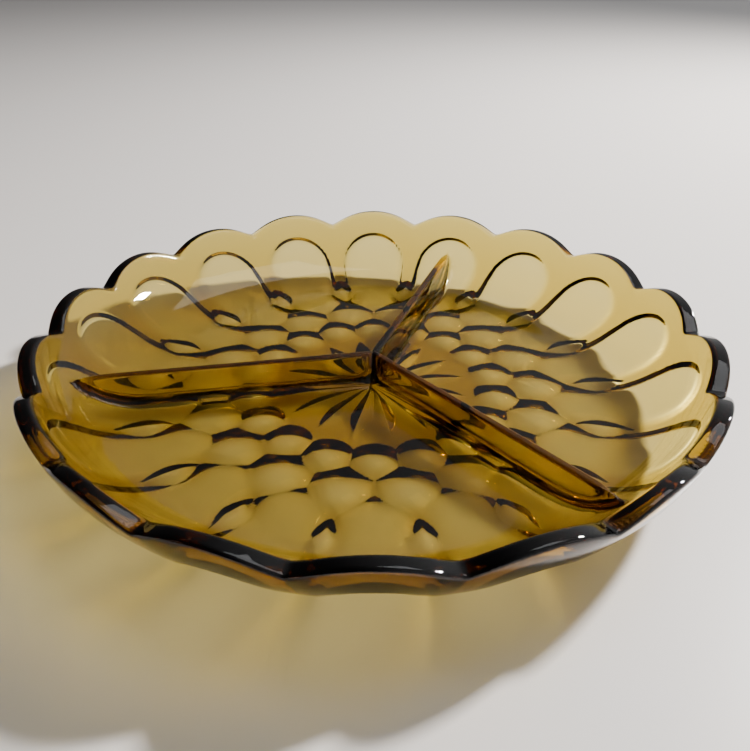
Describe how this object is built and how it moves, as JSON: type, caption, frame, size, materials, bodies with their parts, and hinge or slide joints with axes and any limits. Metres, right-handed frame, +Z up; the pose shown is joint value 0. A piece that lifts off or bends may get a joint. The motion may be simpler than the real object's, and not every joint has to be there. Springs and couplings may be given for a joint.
{
  "type": "divided relish dish",
  "caption": "Shallow round pressed-glass dish with a scalloped rim, level dividers making equal compartments, and thumbprints, ovals and a star pressed into the underside.",
  "frame": {"origin": "centre of the base where it rests on the table", "axes": "+Z up along the dish's axis; one divider runs along -X, and the other two at 60 and 300 degrees from +X"},
  "size_m": [0.24, 0.2384, 0.031],
  "materials": {
    "amber_glass": "glossy"
  },
  "bodies": {
    "root": {"floor_plate": "amber_glass", "scalloped_side": "amber_glass", "divider_left": "amber_glass", "divider_right": "amber_glass", "divider_rear": "amber_glass"}
  },
  "joints": []
}
